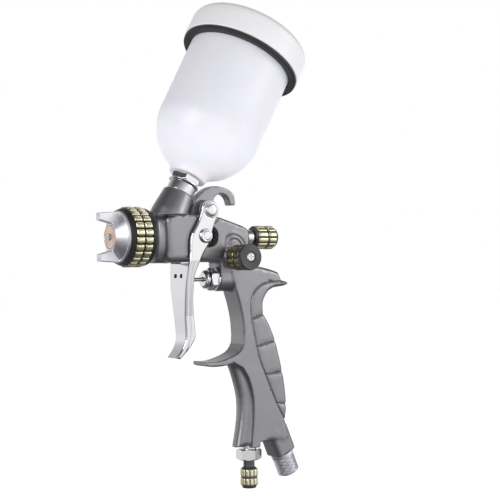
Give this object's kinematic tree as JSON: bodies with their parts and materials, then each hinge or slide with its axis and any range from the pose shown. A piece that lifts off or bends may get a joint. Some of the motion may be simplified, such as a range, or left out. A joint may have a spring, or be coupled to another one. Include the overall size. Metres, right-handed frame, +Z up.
{
  "type": "hvlp spray gun",
  "caption": "Gravity-feed HVLP spray gun with a tilted paint cup, a lever trigger, a slim contoured handle, a hanging hook and knurled adjusters.",
  "frame": {"origin": "top of the hanging hook's inner curve, on the mid-plane, where the hook rests on a peg", "axes": "-X is the spray direction along the barrel, +Z is up, and -Y is the gun's left side, with the fan knob"},
  "size_m": [0.1324, 0.072, 0.2803],
  "materials": {
    "paint": "satin gunmetal paint on a forged aluminium body",
    "chrome": "polished chrome plate",
    "steel": "turned stainless steel",
    "brass": "turned pale brass",
    "black": "black anodised",
    "copper": "turned copper-coloured alloy",
    "cup": "translucent white moulded plastic",
    "lid": "white moulded plastic",
    "rubber": "matte black",
    "plastic": "natural moulded plastic"
  },
  "bodies": {
    "gun": {"gun_body": "paint", "fluid_nozzle": "steel", "air_distributor": "plastic", "needle_packing": "plastic", "packing_nut": "brass", "needle_spring": "steel", "adjuster_sleeve": "chrome", "pivot_pin": "chrome", "pivot_nut": "chrome", "air_valve_housing": "chrome", "valve_packing_nut": "chrome", "stem_packing": "plastic", "air_valve_spring": "steel", "fan_bushing": "black", "air_inlet_nipple": "chrome", "micrometer_housing": "chrome", "inlet_collar": "chrome"},
    "trigger": {"trigger": "chrome", "pull_bar": "chrome"},
    "needle": {"fluid_needle": "steel", "needle_collar": "steel"},
    "air_stem": {"air_valve_stem": "steel", "valve_poppet": "rubber"},
    "fluid_screw": {"needle_spring_seat": "plastic"},
    "fluid_knob": {"fluid_knob": "black"},
    "fan_screw": {"fan_seal": "rubber"},
    "fan_knob": {"fan_knob": "black", "fan_knob_screw": "chrome"},
    "micrometer_screw": {"micrometer_seal": "rubber"},
    "micrometer_knob": {"micrometer_knob": "black"},
    "ring_screw": {"cap_retaining_ring": "plastic"},
    "air_cap_ring": {"air_cap_ring": "black"},
    "air_cap": {"air_cap": "chrome", "air_cap_insert": "copper"},
    "cup": {"cup": "cup", "cup_adapter": "chrome", "paint_filter": "plastic", "cup_band": "rubber"},
    "lid": {"lid": "lid", "lid_seal": "plastic", "drip_check_valve": "plastic"}
  },
  "joints": [
    {"name": "trigger_pull", "type": "hinge", "parent": "gun", "child": "trigger", "pos_m": [-0.0128, 0, -0.0101], "axis": [0, -1, 0], "range_deg": [0, 13], "stiffness_Nm_per_rad": 1.5, "springref_deg": -11.46},
    {"name": "needle_slide", "type": "slide", "parent": "gun", "child": "needle", "axis": [1, 0, 0], "range_m": [0, 0.0035], "deforming": ["needle_spring"]},
    {"name": "air_stem_slide", "type": "slide", "parent": "gun", "child": "air_stem", "axis": [1, 0, 0], "range_m": [0, 0.009], "deforming": ["air_valve_spring"]},
    {"name": "fluid_knob_travel", "type": "slide", "parent": "gun", "child": "fluid_screw", "axis": [1, 0, 0], "range_m": [0, 0.004]},
    {"name": "fluid_knob_turn", "type": "hinge", "parent": "fluid_screw", "child": "fluid_knob", "pos_m": [0.0297, 0, -0.0251], "axis": [1, 0, 0], "range_deg": [0, 1440]},
    {"name": "fan_knob_travel", "type": "slide", "parent": "gun", "child": "fan_screw", "axis": [0, -1, 0], "range_m": [0, 0.003]},
    {"name": "fan_knob_turn", "type": "hinge", "parent": "fan_screw", "child": "fan_knob", "pos_m": [0.0038, -0.019, -0.0369], "axis": [0, -1, 0], "range_deg": [0, 1080]},
    {"name": "micrometer_travel", "type": "slide", "parent": "gun", "child": "micrometer_screw", "axis": [0, 0, -1], "range_m": [0, 0.003]},
    {"name": "micrometer_turn", "type": "hinge", "parent": "micrometer_screw", "child": "micrometer_knob", "pos_m": [0.0182, 0, -0.1651], "axis": [0, 0, -1], "range_deg": [0, 1080]},
    {"name": "ring_travel", "type": "slide", "parent": "gun", "child": "ring_screw", "axis": [-1, 0, 0], "range_m": [0, 0.009]},
    {"name": "ring_turn", "type": "hinge", "parent": "ring_screw", "child": "air_cap_ring", "pos_m": [-0.0578, 0, -0.0251], "axis": [-1, 0, 0], "range_deg": [0, 2160]},
    {"name": "air_cap_turn", "type": "hinge", "parent": "ring_screw", "child": "air_cap", "pos_m": [-0.0638, 0, -0.0251], "axis": [-1, 0, 0], "range_deg": [-90, 90]},
    {"name": "cup_lift", "type": "slide", "parent": "gun", "child": "cup", "axis": [0.4802, 0, 0.8771], "range_m": [0, 0.014]},
    {"name": "lid_lift", "type": "slide", "parent": "cup", "child": "lid", "axis": [0.4802, 0, 0.8771], "range_m": [0, 0.03]}
  ],
  "couplings": [
    {"joint": "needle_slide", "follows": "trigger_pull", "m_per_rad": 0.0148},
    {"joint": "air_stem_slide", "follows": "trigger_pull", "m_per_rad": 0.039},
    {"joint": "fluid_knob_turn", "follows": "fluid_knob_travel", "rad_per_m": 6283.2},
    {"joint": "fan_knob_turn", "follows": "fan_knob_travel", "rad_per_m": 6283.2},
    {"joint": "micrometer_turn", "follows": "micrometer_travel", "rad_per_m": 6283.2},
    {"joint": "ring_turn", "follows": "ring_travel", "rad_per_m": 4188.8}
  ]
}
